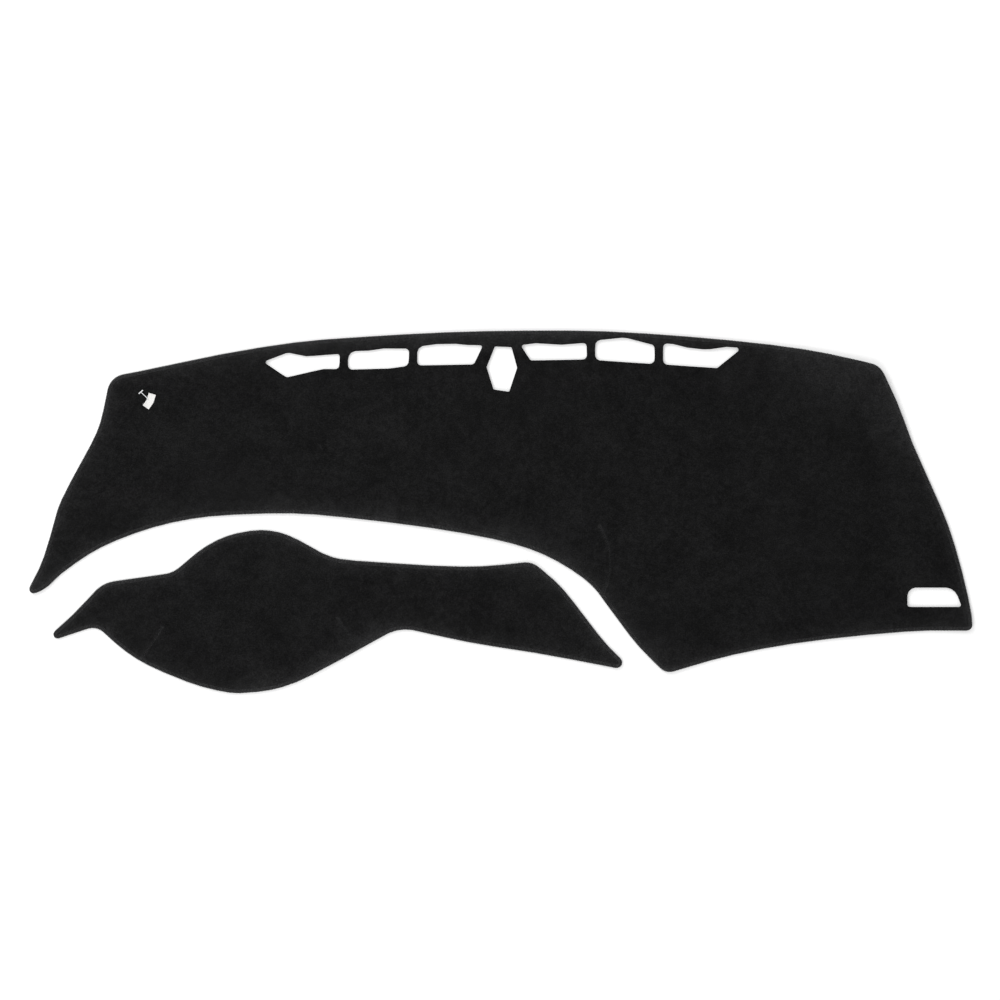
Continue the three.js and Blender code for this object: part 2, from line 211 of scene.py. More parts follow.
def node_mesh(name):
    """A node's corner points in millimetres and its triangles, with shared corners merged."""
    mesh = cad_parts[name].data
    points = np.empty(len(mesh.vertices) * 3)
    mesh.vertices.foreach_get("co", points)
    mesh.calc_loop_triangles()
    triangles = np.empty(len(mesh.loop_triangles) * 3, int)
    mesh.loop_triangles.foreach_get("vertices", triangles)
    merged, index = np.unique(np.round(points.reshape(-1, 3) / MM, 2), axis=0, return_inverse=True)
    return merged, index.ravel()[triangles].reshape(-1, 3)


def rim_loops(name, height, side):
    """Closed loops of a node's edges at a height, each with its triangle's third corner on the given side."""
    points, triangles = node_mesh(name)
    following = {}
    for triangle in triangles:
        for turn in range(3):
            a, b, c = np.roll(triangle, -turn)
            level = np.all(np.abs(points[[a, b], 2] - height) < LEVEL_TOLERANCE)
            if level and (points[c, 2] - height) * side > LEVEL_TOLERANCE:
                following[a] = b
    loops = []
    while following:
        start = next(iter(following))
        loop = [start]
        after = following.pop(start)
        while after != start:
            loop.append(after)
            after = following.pop(after)
        loops.append(points[loop, :2])
    return loops


def signed_area(loop):
    """The area inside a loop, positive where it runs counter-clockwise."""
    ahead = np.roll(loop, -1, axis=0)
    return 0.5 * float(np.sum(loop[:, 0] * ahead[:, 1] - ahead[:, 0] * loop[:, 1]))


def turned(loop, counter_clockwise):
    """A loop with felt on its left: the outer one runs counter-clockwise, a cut-out's clockwise."""
    return loop if (signed_area(loop) > 0) == counter_clockwise else loop[::-1]


def resampled(loop, step):
    """A closed loop as evenly spaced points, about a step apart."""
    closed = np.vstack([loop, loop[:1]])
    along = np.concatenate([[0], np.cumsum(np.linalg.norm(np.diff(closed, axis=0), axis=1))])
    places = np.linspace(0, along[-1], max(LEAST_POINTS, round(along[-1] / step)), endpoint=False)
    return np.column_stack([np.interp(places, along, closed[:, axis]) for axis in (0, 1)])


def averaged(loop, spread):
    """A closed loop with each point averaged with those round it."""
    reach = math.ceil(3 * spread)
    shifts = np.arange(-reach, reach + 1)
    weights = np.exp(-0.5 * (shifts / spread) ** 2)
    weights /= weights.sum()
    return sum(weight * np.roll(loop, shift, axis=0) for weight, shift in zip(weights, shifts))


def softened(loop, spread):
    """A loop with its small corners smoothed and its size kept."""
    once = averaged(loop, spread)
    return 2 * once - averaged(once, spread)


def headings(loop):
    """The direction of a closed loop at each of its points."""
    ahead = np.roll(loop, -1, axis=0) - np.roll(loop, 1, axis=0)
    return ahead / np.linalg.norm(ahead, axis=1)[:, None]


def inset(loop, distance):
    """A loop moved to its left, into the felt. Where it would fold over at a tip, it runs straight across."""
    ahead = headings(loop)
    moved = loop + distance * np.column_stack([-ahead[:, 1], ahead[:, 0]])
    stride = np.roll(moved, -1, axis=0) - np.roll(moved, 1, axis=0)
    folded = np.sum(stride * ahead, axis=1) < LEAST_STRIDE
    folded |= distances(tree_of(loop), moved) < TIP_SHARE * distance
    if folded.any() and not folded.all():
        count = len(loop)
        number = np.arange(count)
        held = number[~folded]
        around = np.concatenate([held[-1:] - count, held, held[:1] + count])
        for axis in (0, 1):
            moved[:, axis] = np.interp(number, around, moved[around % count, axis])
    return moved


def outer_loop(binding):
    """The outline of a mat, from the outer side of its binding."""
    wall = max(rim_loops(binding, WALL_FOOT, -1), key=lambda loop: abs(signed_area(loop)))
    return softened(resampled(turned(wall, True), RIM_STEP), RIM_SOFTENING)


def cutout_loops(felt):
    """The outlines of a mat's cut-outs."""
    loops = sorted(rim_loops(felt, 0.0, 1), key=lambda loop: -abs(signed_area(loop)))[1:]
    return [
        softened(resampled(turned(loop, False), RIM_STEP / 2), RIM_SOFTENING / 2)
        for loop in loops
        if abs(signed_area(loop)) > LEAST_CUTOUT
    ]


def strip_frame(node):
    """A flat strip's outline as even points, in a frame along it: middle, way, side, along and across."""
    bottom = node_mesh(node)[0][:, 2].min()
    outline = resampled(max(rim_loops(node, bottom, 1), key=len), STRIP_STEP)
    middle = outline.mean(axis=0)
    way = np.linalg.svd(outline - middle)[2][0]
    way = -way if way[1] > 0 else way
    side = np.array([-way[1], way[0]])
    return middle, way, side, (outline - middle) @ way, (outline - middle) @ side


def seam_line(node):
    """The middle line of a dart's strip as evenly spaced points."""
    middle, way, side, along, across = strip_frame(node)
    bow = np.polyfit(along, across, 2)
    places = np.linspace(along.min(), along.max(), round(np.ptp(along) / SEAM_STEP))
    return middle + places[:, None] * way + np.polyval(bow, places)[:, None] * side


def side_of(line):
    """The direction to the left of an open line at each of its points."""
    ahead = np.gradient(line, axis=0)
    ahead /= np.linalg.norm(ahead, axis=1)[:, None]
    return np.column_stack([-ahead[:, 1], ahead[:, 0]])


def tree_of(points):
    """A search tree of flat points."""
    tree = KDTree(len(points))
    for index, (x, y) in enumerate(points):
        tree.insert((x, y, 0), index)
    tree.balance()
    return tree


def distances(tree, points):
    """How far each flat point lies from the nearest one in a tree."""
    return np.array([tree.find((x, y, 0))[2] for x, y in points])


def inside(points, loops):
    """Whether each point lies inside the first loop and outside the cut-outs."""
    crossings = np.zeros(len(points), int)
    for loop in loops:
        for (x0, y0), (x1, y1) in zip(loop, np.roll(loop, -1, axis=0)):
            spans = (points[:, 1] < y0) != (points[:, 1] < y1)
            crossings[spans] += points[spans, 0] < x0 + (points[spans, 1] - y0) / (y1 - y0) * (x1 - x0)
    return crossings % 2 == 1


def staggered(loops, step):
    """Points inside the loops in staggered rows, an even step apart."""
    low, high = loops[0].min(axis=0), loops[0].max(axis=0)
    rows = []
    for row, y in enumerate(np.arange(low[1], high[1], step * math.sqrt(3) / 2)):
        crossings = []
        for loop in loops:
            ahead = np.roll(loop, -1, axis=0)
            crossed = (loop[:, 1] > y) != (ahead[:, 1] > y)
            start, end = loop[crossed], ahead[crossed]
            share = (y - start[:, 1]) / (end[:, 1] - start[:, 1])
            crossings.extend(start[:, 0] + share * (end - start)[:, 0])
        places = np.arange(low[0] + step / 2 * (row % 2), high[0], step)
        held = places[np.searchsorted(np.sort(crossings), places) % 2 == 1]
        rows.append(np.column_stack([held, np.full(len(held), y)]))
    return np.vstack(rows)


def falling(distance, reach):
    """1 at no distance, falling smoothly to 0 at the reach."""
    share = np.clip(1 - np.asarray(distance) / reach, 0, 1)
    return share * share * (3 - 2 * share)


class Relief:
    """How far a sheet that isn't quite flat stands off the floor, in millimetres."""

    def __init__(self, outline, edge_lifts, corner_lifts, seed):
        self.tree = tree_of(outline)
        self.edge_lifts = edge_lifts
        self.corner_lifts = corner_lifts
        draw = np.random.default_rng(seed)
        self.waves = [
            (draw.uniform(0, 2 * math.pi), draw.uniform(0, 2 * math.pi), draw.uniform(*WAVE_LENGTHS))
            for _ in range(WAVE_COUNT)
        ]

    def edge(self, points):
        """How far each point lies from the outline."""
        return distances(self.tree, np.asarray(points, float)[:, :2])

    def band(self, points):
        """1 at a raised edge, falling to 0 where the felt lies down again."""
        points = np.asarray(points, float)[:, :2]
        edge = self.edge(points)
        shares = [
            falling(np.hypot(*(points - [x, y]).T), reach) * np.sqrt(np.clip(1 - edge / inner, 0, 1))
            for (x, y), reach, inner, _ in self.edge_lifts
        ]
        return np.max(shares, axis=0)

    def tip(self, points):
        """1 at a raised corner, falling to 0 at its reach."""
        points = np.asarray(points, float)[:, :2]
        near = [falling(np.hypot(*(points - [x, y]).T), reach) for (x, y), reach, _ in self.corner_lifts]
        return np.max(near, axis=0)

    def at(self, points):
        """The lift of the felt at each point."""
        points = np.asarray(points, float)[:, :2]
        sway = sum(
            np.sin(2 * math.pi * (points @ [math.cos(turn), math.sin(turn)]) / length + start)
            for turn, start, length in self.waves
        )
        lift = WAVE_HEIGHT * np.clip(sway / WAVE_SPREAD + WAVE_RAISE, 0, None)
        edge = self.edge(points)
        for (x, y), reach, inner, height in self.edge_lifts:
            near = falling(np.hypot(*(points - [x, y]).T), reach)
            lift = lift + height * near * np.clip(1 - edge / inner, 0, 1) ** 2
        for (x, y), reach, height in self.corner_lifts:
            lift = lift + height * np.clip(1 - np.hypot(*(points - [x, y]).T) / reach, 0, 1) ** 2
        return lift


def made(name, points, faces):
    """A smooth mesh object from millimetre points."""
    mesh = bpy.data.meshes.new(name)
    mesh.from_pydata((np.asarray(points) * MM).tolist(), [], [list(map(int, face)) for face in faces])
    mesh.validate()
    mesh.polygons.foreach_set("use_smooth", [True] * len(mesh.polygons))
    mesh.update()
    piece = bpy.data.objects.new(name, mesh)
    bpy.context.scene.collection.objects.link(piece)
    return piece


def kept_triangles(places, triangles, on_border, edges, origin, borders):
    """Which triangles are felt: the border runs with felt on its left, and that settles those beside it."""
    forward = {(origin[a], origin[b]) for a, b in edges}
    keep = ~on_border[triangles].all(axis=1)
    unsettled = []
    for index in np.flatnonzero(~keep):
        sides = [(triangles[index][turn], triangles[index][(turn + 1) % 3]) for turn in range(3)]
        if any(side in forward for side in sides):
            keep[index] = True
        elif not any(side[::-1] in forward for side in sides):
            unsettled.append(index)
    if unsettled:
        keep[unsettled] = inside(places[triangles[unsettled]].mean(axis=1), borders)
    return keep


def seam_painted_sheen_mask(seams, points):
    """Where a dart's painted sheen lies: 1 on the ends of a sewn dart and less along its middle, falling to 0
    beside it.
    """
    nearest = tree_of(np.vstack(seams))
    found = [nearest.find((x, y, 0))[1:] for x, y in points[:, :2]]
    station = np.array([index for index, _ in found])
    distance = np.array([distance for _, distance in found])
    ends = np.concatenate([np.abs(np.linspace(-1, 1, len(line))) ** SEAM_ENDS for line in seams])
    strength = SEAM_MIDDLE + (1 - SEAM_MIDDLE) * ends[station]
    return strength * np.exp(-((distance / SEAM_FADE) ** 2))


def painted_sheen_share(relief, seams, points):
    """How much painted sheen pales the felt towards the rim, where it is raised, and along its darts."""
    edge = relief.edge(points)
    painted_sheen = RIM_PAINTED_SHEEN * np.exp(-edge / RIM_FADE) + BAND_PAINTED_SHEEN * falling(edge, BAND_REACH)
    painted_sheen += LIFT_PAINTED_SHEEN * relief.band(points) + TIP_PAINTED_SHEEN * relief.tip(points)
    return painted_sheen + SEAM_PAINTED_SHEEN * seam_painted_sheen_mask(seams, points)


def sheet_points(borders, seams):
    """Points of the flat felt: its borders, the rows beside its seams, and a staggered grid elsewhere."""
    rows = [line + side_of(line) * off * way for line in seams for off in SEAM_ROWS for way in (-1, 1)]
    rim = tree_of(np.vstack(borders))
    rows = [row[(distances(rim, row) > SEAM_CLEARANCE) & inside(row, borders)] for row in rows]
    taken = tree_of(np.vstack(borders + rows))
    grid = staggered(borders, GRID_STEP)
    grid = grid[distances(taken, grid) > GRID_CLEARANCE]
    return np.vstack(borders + rows + [grid])


def border_edges(borders):
    """One edge for each border point, with the points numbered from one border to the next."""
    edges = []
    for border in borders:
        start, count = len(edges), len(border)
        edges += [(start + k, start + (k + 1) % count) for k in range(count)]
    return edges


def flat_felt(borders, seams):
    """The flat felt's points and triangles, and where each given point went among those points."""
    edges = border_edges(borders)
    given = [Vector(place) for place in sheet_points(borders, seams)]
    found = delaunay_2d_cdt(given, edges, [], 0, SAME_POINT, True)
    places = np.array([tuple(place) for place in found[0]])
    triangles = np.array(found[2])
    origin = {source: index for index, sources in enumerate(found[3]) for source in sources}
    on_border = np.zeros(len(places), bool)
    on_border[[origin[first] for first, _ in edges]] = True
    kept = kept_triangles(places, triangles, on_border, edges, origin, borders)
    return places, triangles[kept], origin


def pressed_top(places, seams):
    """Heights of the felt's top face, pressed down along each seam."""
    off = distances(tree_of(np.vstack(seams)), places)
    height = np.full(len(places), FELT_TOP)
    height -= SEAM_DEPTH * np.exp(-((off / SEAM_HALF_WIDTH) ** 2))
    return height + SHOULDER_HEIGHT * np.exp(-(((off - SHOULDER_PLACE) / SHOULDER_WIDTH) ** 2))


def edge_walls(loops, profiles, origin, count):
    """Points and faces of the felt's edges, which join the count points of its top face to its underside."""
    points, faces = [], []
    total, first = 2 * count, 0
    for loop, profile in zip(loops, profiles):
        size = len(loop)
        border = [origin[first + k] for k in range(size)]
        rings = [border]
        for distance, height in profile[1:-1]:
            points.append(np.column_stack([inset(loop, distance), np.full(size, height)]))
            rings.append([total + k for k in range(size)])
            total += size
        rings.append([number + count for number in border])
        for upper, lower in zip(rings, rings[1:]):
            faces += [
                (upper[k], lower[k], lower[(k + 1) % size], upper[(k + 1) % size]) for k in range(size)
            ]
        first += size
    return points, faces


def felt_sheet(name, loops, seams, relief):
    """A sheet of felt with edges round its loops and a pressed line along each seam."""
    profiles = [BOUND_EDGE] + [CUT_EDGE] * (len(loops) - 1)
    borders = [inset(loop, profile[0][0]) for loop, profile in zip(loops, profiles)]
    places, triangles, origin = flat_felt(borders, seams)
    count = len(places)
    top = np.column_stack([places, pressed_top(places, seams)])
    underside = np.column_stack([places, np.zeros(count)])
    wall_points, wall_faces = edge_walls(loops, profiles, origin, count)
    points = np.vstack([top, underside, *wall_points])
    faces = [*triangles, *(triangles[:, ::-1] + count), *wall_faces]
    points[:, 2] += relief.at(points)
    sheet = made(name, points, faces)
    # Painted sheen: a share at each point by which the felt's colour is painted paler at its rim, raised
    # parts and darts.
    painted_sheen = painted_sheen_share(relief, seams, points)
    sheet.data.attributes.new("painted_sheen", "FLOAT", "POINT").data.foreach_set("value", painted_sheen)
    return sheet


def tube_mesh(path, across, radius, sides, closed):
    """Points and faces of a round thread along a path. across is a direction beside it at each point."""
    if closed:
        ahead = np.roll(path, -1, axis=0) - np.roll(path, 1, axis=0)
    else:
        ahead = np.gradient(path, axis=0)
    ahead /= np.linalg.norm(ahead, axis=1)[:, None]
    beside = across - np.sum(across * ahead, axis=1)[:, None] * ahead
    beside /= np.linalg.norm(beside, axis=1)[:, None]
    over = np.cross(ahead, beside)
    turns = 2 * math.pi * np.arange(sides) / sides
    ring = np.cos(turns)[None, :, None] * beside[:, None] + np.sin(turns)[None, :, None] * over[:, None]
    points = (path[:, None] + radius * ring).reshape(-1, 3)
    count = len(path)
    last = count if closed else count - 1
    step, turn = np.meshgrid(np.arange(last), np.arange(sides), indexing="ij")
    after, beyond = (step + 1) % count, (turn + 1) % sides
    quads = np.stack([
        step * sides + turn, step * sides + beyond, after * sides + beyond, after * sides + turn,
    ], axis=-1).reshape(-1, 4)
    faces = quads.tolist()
    if not closed:
        faces.append(list(reversed(range(sides))))
        faces.append([last * sides + turn for turn in range(sides)])
    return points, faces


def thread_piece(name, path, across, radius, sides, closed, relief):
    """A thread along a path, laid on the relief."""
    points, faces = tube_mesh(path, across, radius, sides, closed)
    points[:, 2] += relief.at(points)
    return made(name, points, faces)


def overlock(name, outline, relief, seed):
    """Thread that winds round the edge, one turn a pitch, a little uneven as real stitches are."""
    even = resampled(outline, THREAD_PITCH)
    turns = len(even)
    share, depth, height = np.array(THREAD_TURN).T
    draw = np.random.default_rng(seed)
    reach = 1 + UNEVEN_REACH * draw.standard_normal(turns)
    swell = UNEVEN_CREST * draw.standard_normal(turns)
    places = (np.arange(turns)[:, None] + share).ravel()
    base = np.vstack([even, even[:1]])
    on_edge = np.column_stack([np.interp(places, np.arange(turns + 1), base[:, axis]) for axis in (0, 1)])
    ahead = headings(outline)
    nearest = tree_of(outline)
    way = np.array([ahead[nearest.find((x, y, 0))[1]] for x, y in on_edge])
    inward = np.column_stack([-way[:, 1], way[:, 0]])
    inner = np.where(depth > DEEP_FROM, depth * reach[:, None], depth[None, :]).ravel()
    level = (height[None, :] + swell[:, None] * (height > CREST_FROM)).ravel()
    path = np.column_stack([on_edge + inward * inner[:, None], level])
    across = np.column_stack([way, np.zeros(len(way))])
    return thread_piece(name, path, across, THREAD_RADIUS, THREAD_SIDES, True, relief)


def needle_row(name, outline, relief):
    """The row of short stitches along the inner side of the overlocked edge."""
    line = resampled(inset(outline, NEEDLE_INSET), NEEDLE_STEP)
    stitches = np.arange(len(line)) * NEEDLE_STEP / NEEDLE_STITCH
    level = NEEDLE_LEVEL + NEEDLE_RISE * np.abs(np.sin(math.pi * stitches)) ** NEEDLE_FULLNESS
    path = np.column_stack([line, level])
    across = np.column_stack([inset(line, 1.0) - line, np.zeros(len(line))])
    return thread_piece(name, path, across, NEEDLE_RADIUS, NEEDLE_SIDES, True, relief)


def zigzag(name, line, relief):
    """Thread that draws the two sides of a dart together, from side to side across it."""
    length = float(np.sum(np.linalg.norm(np.diff(line, axis=0), axis=1)))
    legs = max(LEAST_LEGS, round(2 * length / ZIGZAG_PITCH))
    share = np.linspace(0, 1, legs * LEG_POINTS + 1)
    along = share * (len(line) - 1)
    number = np.arange(len(line))
    middle = np.column_stack([np.interp(along, number, line[:, axis]) for axis in (0, 1)])
    side = side_of(middle)
    phase = share * legs
    swing = 1 - 2 * np.abs((phase % 2) - 1)
    level = ZIGZAG_LEVEL + ZIGZAG_RISE * np.sin(math.pi * (phase % 1)) ** ZIGZAG_FULLNESS
    path = np.column_stack([middle + side * (swing * ZIGZAG_REACH)[:, None], level])
    across = np.tile(UP, (len(path), 1))
    return thread_piece(name, path, across, ZIGZAG_RADIUS, ZIGZAG_SIDES, False, relief)


def evened(line, count):
    """An open line as a number of evenly spaced points."""
    along = np.concatenate([[0], np.cumsum(np.linalg.norm(np.diff(line, axis=0), axis=1))])
    places = np.linspace(0, along[-1], count)
    return np.column_stack([np.interp(places, along, line[:, axis]) for axis in (0, 1)])


def four_sides(outline, rows, columns):
    """The lower, upper, near and far side of a strip's outline, each as evenly spaced points."""
    corners = [int(np.argmax(outline @ [s, t])) for s, t in ((-1, -1), (1, -1), (1, 1), (-1, 1))]
    count = len(outline)
    loop = np.roll(outline, -corners[0], axis=0)
    stops = [(corner - corners[0]) % count for corner in corners]
    if stops[1] > stops[3]:
        loop = np.roll(loop[::-1], 1, axis=0)
        stops = [(count - stop) % count for stop in stops]
    loop = np.vstack([loop, loop[:1]])
    lower = evened(loop[: stops[1] + 1], rows)
    far = evened(loop[stops[1] : stops[2] + 1], columns)
    upper = evened(loop[stops[2] : stops[3] + 1], rows)[::-1]
    near = evened(loop[stops[3] :], columns)[::-1]
    return lower, upper, near, far


def spanned(lower, upper, near, far):
    """A grid of points between four sides, with each one's share of the way along and across."""
    along, across = np.meshgrid(np.linspace(0, 1, len(lower)), np.linspace(0, 1, len(near)), indexing="ij")
    s, t = along[..., None], across[..., None]
    flat = (1 - t) * lower[:, None] + t * upper[:, None] + (1 - s) * near + s * far
    flat -= (1 - s) * ((1 - t) * lower[0] + t * upper[0]) + s * ((1 - t) * lower[-1] + t * upper[-1])
    return flat, along, across


def label_lift(along, across):
    """How far the label's limp tape rises, more towards its two ends and its long sides."""
    u, v = 2 * along - 1, across
    lift = LABEL_FAR_CURL * np.clip(u, 0, 1) ** 2 + LABEL_NEAR_CURL * np.clip(-u, 0, 1) ** 3
    lift += LABEL_CUP * (2 * v - 1) ** 2 * (LABEL_CUP_MIDDLE + (1 - LABEL_CUP_MIDDLE) * u * u)
    return lift + LABEL_RIPPLE * np.sin(LABEL_RIPPLE_TURN * u + LABEL_RIPPLE_SLANT * v)


def tag_label(name, relief):
    """A limp strip of white tape, a little curled, in place of its flat solid."""
    middle, way, side, along, across = strip_frame("tag_label")
    sides = four_sides(np.column_stack([along, across]), LABEL_ROWS, LABEL_COLUMNS)
    flat, along, across = spanned(*sides)
    place = middle + flat[..., :1] * way + flat[..., 1:] * side
    level = FELT_TOP + LABEL_CLEARANCE + label_lift(along, across)
    layers = [np.dstack([place, level + rise]).reshape(-1, 3) for rise in (LABEL_THICKNESS, 0.0)]
    count = LABEL_ROWS * LABEL_COLUMNS
    index = np.arange(count).reshape(LABEL_ROWS, LABEL_COLUMNS)
    corners = (index[:-1, :-1], index[1:, :-1], index[1:, 1:], index[:-1, 1:])
    quads = np.stack(corners, axis=-1).reshape(-1, 4)
    rim = np.concatenate([index[0, :-1], index[:-1, -1], index[-1, :0:-1], index[:0:-1, 0]])
    after = np.roll(rim, -1)
    wall = np.column_stack([rim, after, after + count, rim + count])
    points = np.vstack(layers)
    points[:, 2] += relief.at(points)
    return made(name, points, [*quads, *(quads[:, ::-1] + count), *wall])


def smooth_copy(name, node, relief):
    """A node's shape with its facets rounded, laid on the relief."""
    points, triangles = node_mesh(node)
    points = points.astype(float)
    points[:, 2] += relief.at(points)
    piece = made(name, points, triangles)
    swell = piece.modifiers.new("swell", "DISPLACE")
    swell.mid_level = 0
    swell.strength = PIN_SWELL * MM
    remesh = piece.modifiers.new("remesh", "REMESH")
    remesh.mode = "VOXEL"
    remesh.voxel_size = PIN_VOXEL * MM
    soften = piece.modifiers.new("soften", "SMOOTH")
    soften.iterations = PIN_SMOOTHING
    graph = bpy.context.evaluated_depsgraph_get()
    rounded = bpy.data.meshes.new_from_object(piece.evaluated_get(graph))
    piece.modifiers.clear()
    piece.data = rounded
    rounded.polygons.foreach_set("use_smooth", [True] * len(rounded.polygons))
    return piece


class Nodes:
    """A material's node tree with short calls for the nodes used here."""

    def __init__(self, name):
        self.material = bpy.data.materials.new(name)
        self.material.use_nodes = True
        self.tree = self.material.node_tree
        self.shader = self.tree.nodes["Principled BSDF"]
        self.place = self.add("ShaderNodeTexCoord").outputs["Object"]

    def add(self, kind, **inputs):
        node = self.tree.nodes.new(kind)
        for key, value in inputs.items():
            self.set(node.inputs[key.replace("_", " ")], value)
        return node

    def set(self, socket, value):
        """Links a socket to another one, or gives it a plain value."""
        if isinstance(value, bpy.types.NodeSocket):
            self.tree.links.new(value, socket)
        else:
            socket.default_value = value

    def noise(self, scale, detail=2.0, roughness=0.5, place=None, distortion=0.0):
        node = self.add(
            "ShaderNodeTexNoise", Vector=place or self.place, Scale=scale, Detail=detail,
            Roughness=roughness, Distortion=distortion,
        )
        return node.outputs["Fac"]

    def stretched(self, turn, scale):
        """Places turned about +Z and scaled, for a noise drawn out along one direction."""
        node = self.add("ShaderNodeMapping", Vector=self.place, Rotation=(0, 0, turn), Scale=scale)
        return node.outputs["Vector"]

    def math(self, operation, first, second=0.0, third=0.0):
        node = self.tree.nodes.new("ShaderNodeMath")
        node.operation = operation
        for socket, value in zip(node.inputs, (first, second, third)):
            self.set(socket, value)
        return node.outputs[0]

    def most(self, values):
        """The greatest of several values."""
        greatest = values[0]
        for value in values[1:]:
            greatest = self.math("MAXIMUM", greatest, value)
        return greatest

    def weighted(self, parts):
        """The sum of several values, each times its weight."""
        total = 0.0
        for value, weight in parts:
            total = self.math("MULTIPLY_ADD", value, weight, total)
        return total

    def ranged(self, value, from_low, from_high, to_low, to_high):
        node = self.add(
            "ShaderNodeMapRange", Value=value, From_Min=from_low, From_Max=from_high, To_Min=to_low,
            To_Max=to_high,
        )
        return node.outputs["Result"]

    def ramp(self, value, stops):
        """A colour from a value, with stops of place and colour."""
        node = self.add("ShaderNodeValToRGB", Fac=value)
        ramp = node.color_ramp
        while len(ramp.elements) < len(stops):
            ramp.elements.new(0.5)
        for element, (position, colour) in zip(ramp.elements, stops):
            element.position = position
            element.color = (*colour, 1)
        return node.outputs["Color"]

    def attribute(self, name):
        node = self.tree.nodes.new("ShaderNodeAttribute")
        node.attribute_name = name
        return node.outputs["Fac"]

    def mixed(self, share, first, second):
        """A colour between two others."""
        node = self.tree.nodes.new("ShaderNodeMix")
        node.data_type = "RGBA"
        for socket, value in zip((node.inputs[0], node.inputs[6], node.inputs[7]), (share, first, second)):
            self.set(socket, value)
        return node.outputs[2]

    def bump(self, height, strength, distance):
        node = self.add("ShaderNodeBump", Height=height, Strength=strength, Distance=distance)
        return node.outputs["Normal"]

    def finish(self, **inputs):
        """Sets the shader's inputs and gives the material."""
        for key, value in inputs.items():
            self.set(self.shader.inputs[key.replace("_", " ")], value)
        return self.material


def greys(places, levels):
    """Stops of a ramp from one nearly neutral grey to the next."""
    return [(place, (level, level, level * 1.02)) for place, level in zip(places, levels)]


def hairs(nodes, turn):
    """Fine curling fibres: thin lines where a stretched noise passes its middle value."""
    place = nodes.stretched(turn, HAIR_STRETCH)
    field = nodes.noise(1.0, detail=1.0, roughness=0.5, place=place, distortion=0.7)
    off = nodes.math("ABSOLUTE", nodes.math("SUBTRACT", field, 0.5))
    return nodes.ranged(off, 0.0, HAIR_HALF_WIDTH, 1.0, 0.0)


def fibres(nodes, turn):
    """Coarser fibres that lie along one direction."""
    return nodes.noise(1.0, detail=2.0, roughness=0.6, place=nodes.stretched(turn, FIBRE_STRETCH))


def felt_material():
    """Needled felt: short fibres lying every way over a fine uneven grain, with painted sheen that pales it
    where the mesh's attribute says.
    """
    nodes = Nodes("felt")
    fine = nodes.most([hairs(nodes, turn) for turn in HAIR_TURNS])
    strands = nodes.most([fibres(nodes, turn) for turn in FIBRE_TURNS])
    grain = nodes.noise(600, detail=3.0, roughness=0.65)
    clumps = nodes.noise(110, detail=3.0, roughness=0.5, distortion=0.6)
    patches = nodes.noise(14, detail=3.0, roughness=0.55)
    thin = nodes.math("SUBTRACT", fine, 0.2)
    mixed = nodes.weighted([(strands, 0.35), (grain, 0.45), (clumps, 0.2), (thin, 0.1)])
    tone = nodes.math("MULTIPLY_ADD", nodes.math("SUBTRACT", patches, 0.5), 0.18, mixed)
    dark = nodes.ramp(tone, greys(GRAIN_STOPS, FELT_TONES))
    # Painted sheen: paler tones that the felt's colour is mixed towards by the mesh's painted sheen share.
    light = nodes.ramp(tone, greys(GRAIN_STOPS, PAINTED_SHEEN_TONES))
    return nodes.finish(
        Base_Color=nodes.mixed(nodes.attribute("painted_sheen"), dark, light),
        Roughness=nodes.ranged(mixed, 0.35, 0.7, 0.98, 0.8),
        Specular_IOR_Level=0.025,
        Sheen_Weight=0.05,
        Sheen_Roughness=0.5,
        Sheen_Tint=SHEEN_TINT,
        Normal=nodes.bump(mixed, strength=0.7, distance=0.0006),
    )


def thread_material(name, level, light):
    """Spun thread with a fine twist, and a little fluff from stitch to stitch."""
    nodes = Nodes(name)
    twist = nodes.noise(1400, detail=2.0, roughness=0.6)
    uneven = nodes.noise(260, detail=2.0, roughness=0.5)
    tone = nodes.weighted([(twist, 0.55), (uneven, 0.45)])
    return nodes.finish(
        Base_Color=nodes.ramp(tone, greys((0.32, 0.5, 0.68), (level * 0.55, level, light))),
        Roughness=nodes.ranged(tone, 0.35, 0.65, 0.9, 0.7),
        Specular_IOR_Level=0.2,
        Sheen_Weight=0.2,
        Sheen_Roughness=0.4,
        Sheen_Tint=SHEEN_TINT,
        Normal=nodes.bump(tone, strength=0.6, distance=0.0003),
    )


def label_material():
    """White woven tape with fine crossing yarns and faint soiling."""
    nodes = Nodes("label")
    warp = nodes.noise(1.0, detail=1.0, roughness=0.5, place=nodes.stretched(WEAVE_TURN, (5200, 900, 900)))
    weft = nodes.noise(1.0, detail=1.0, roughness=0.5, place=nodes.stretched(WEAVE_TURN, (900, 5200, 900)))
    weave = nodes.math("MAXIMUM", warp, weft)
    soil = nodes.noise(90, detail=3.0, roughness=0.55)
    tone = nodes.weighted([(weave, 0.5), (soil, 0.5)])
    stops = [(0.3, (0.62, 0.61, 0.6)), (0.5, (0.84, 0.83, 0.81)), (0.75, (0.9, 0.89, 0.87))]
    return nodes.finish(
        Base_Color=nodes.ramp(tone, stops),
        Roughness=nodes.ranged(weave, 0.4, 0.7, 0.75, 0.6),
        Specular_IOR_Level=0.3,
        Sheen_Weight=0.1,
        Normal=nodes.bump(weave, strength=0.4, distance=0.0002),
    )


def pin_material():
    """Milky moulded nylon with faint flow marks."""
    nodes = Nodes("pin_plastic")
    flow = nodes.noise(1.0, detail=2.0, roughness=0.5, place=nodes.stretched(0.7, (300, 1500, 1500)))
    return nodes.finish(
        Base_Color=nodes.ramp(flow, [(0.3, (0.78, 0.79, 0.81)), (0.7, (0.9, 0.91, 0.92))]),
        Roughness=nodes.ranged(flow, 0.3, 0.7, 0.28, 0.42),
        Specular_IOR_Level=0.5,
        Normal=nodes.bump(flow, strength=0.25, distance=0.0001),
    )


def dressed(piece, material, node=None):
    """Gives a piece its material and its place on the part."""
    piece.data.materials.append(material)
    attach(piece, "root")
    if node:
        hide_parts(node)
    return piece


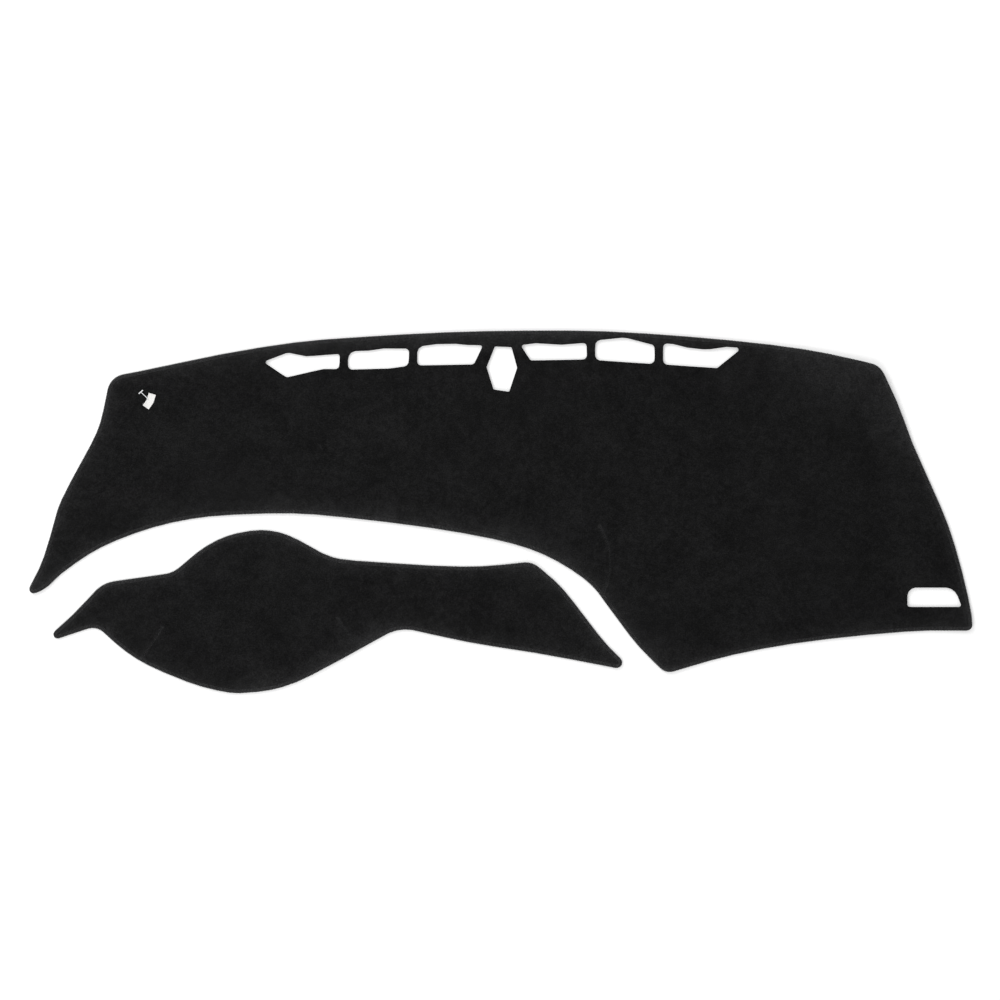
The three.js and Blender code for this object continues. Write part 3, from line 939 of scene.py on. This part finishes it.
def build_mat(name, seam_nodes, relief, materials, seed):
    """One mat with its overlocked edge and its sewn darts."""
    outline = outer_loop(f"{name}_binding")
    cutouts = cutout_loops(name)
    seams = {node: seam_line(node) for node in seam_nodes}
    felt = felt_sheet(f"{name}_felt", [outline, *cutouts], list(seams.values()), relief)
    dressed(felt, materials["felt"], name)
    edge = overlock(f"{name}_overlock", outline, relief, seed)
    dressed(edge, materials["thread"], f"{name}_binding")
    row = needle_row(f"{name}_needle_row", outline, relief)
    dressed(row, materials["thread"])
    for node, line in seams.items():
        stitches = zigzag(f"{node}_stitches", line, relief)
        dressed(stitches, materials["seam"], node)


def build_tag(relief, materials):
    """The blank label and the plastic pin that holds it to the felt."""
    label = dressed(tag_label("tag_label_tape", relief), materials["label"], "tag_label")
    dressed(smooth_copy("tag_pin_smooth", "tag_pin", relief), materials["pin"], "tag_pin")


def build_stage():
    """A white floor that shows the mat's soft shadow."""
    bpy.ops.mesh.primitive_plane_add(size=FLOOR_SIDE, location=(0, 0, -FLOOR_DROP))
    floor = bpy.context.object
    floor.name = "floor"
    nodes = Nodes("floor")
    ray = nodes.add("ShaderNodeLightPath")
    seen = nodes.math("MAXIMUM", ray.outputs["Is Camera Ray"], ray.outputs["Is Glossy Ray"])
    nodes.finish(
        Base_Color=(0.93, 0.93, 0.93, 1),
        Roughness=0.9,
        Specular_IOR_Level=0.1,
        Emission_Color=(1, 1, 1, 1),
        Emission_Strength=nodes.math("MULTIPLY", seen, FLOOR_GLOW),
    )
    floor.data.materials.append(nodes.material)


def build_light():
    """Soft daylight from all round, with large panels above."""
    world = bpy.data.worlds.new("world")
    bpy.context.scene.world = world
    world.use_nodes = True
    world.node_tree.nodes["Background"].inputs["Color"].default_value = (1, 1, 1, 1)
    world.node_tree.nodes["Background"].inputs["Strength"].default_value = SKY_STRENGTH
    for name, place, size, power in LAMPS:
        lamp = bpy.data.lights.new(name, "AREA")
        lamp.size = size
        lamp.energy = power
        holder = bpy.data.objects.new(name, lamp)
        holder.location = place
        holder.rotation_euler = (-Vector(place)).to_track_quat("-Z", "Y").to_euler()
        bpy.context.scene.collection.objects.link(holder)


def build_camera():
    """A long lens straight above, with the picture 1.5 m wide at the mat's face."""
    picture_width, centre, lens = 1.5, (-0.00075, 0.018), 85
    data = bpy.data.cameras.new("camera")
    data.lens = lens
    camera = bpy.data.objects.new("camera", data)
    distance = picture_width * lens / data.sensor_width
    camera.location = (*centre, distance + FELT_TOP * MM)
    data.clip_end = 100
    bpy.context.scene.collection.objects.link(camera)
    bpy.context.scene.camera = camera


def main():
    """Both mats with their stitches, the tag, and the floor, light and camera round them."""
    main_outline = outer_loop("main_mat_binding")
    hood_outline = outer_loop("hood_mat_binding")
    main_relief = Relief(main_outline, MAIN_EDGE_LIFTS, MAIN_CORNER_LIFTS, seed=11)
    hood_relief = Relief(hood_outline, HOOD_EDGE_LIFTS, HOOD_CORNER_LIFTS, seed=12)
    materials = {
        "felt": felt_material(),
        "thread": thread_material("binding_thread", level=0.029, light=0.066),
        "seam": thread_material("seam_thread", level=0.02, light=0.04),
        "label": label_material(),
        "pin": pin_material(),
    }
    hood_seams = ["hood_mat_left_dart_seam", "hood_mat_right_dart_seam"]
    build_mat("main_mat", ["main_mat_dart_seam"], main_relief, materials, seed=21)
    build_mat("hood_mat", hood_seams, hood_relief, materials, seed=22)
    build_tag(main_relief, materials)
    build_stage()
    build_light()
    build_camera()
    bpy.context.scene.view_settings.view_transform = "Standard"


main()
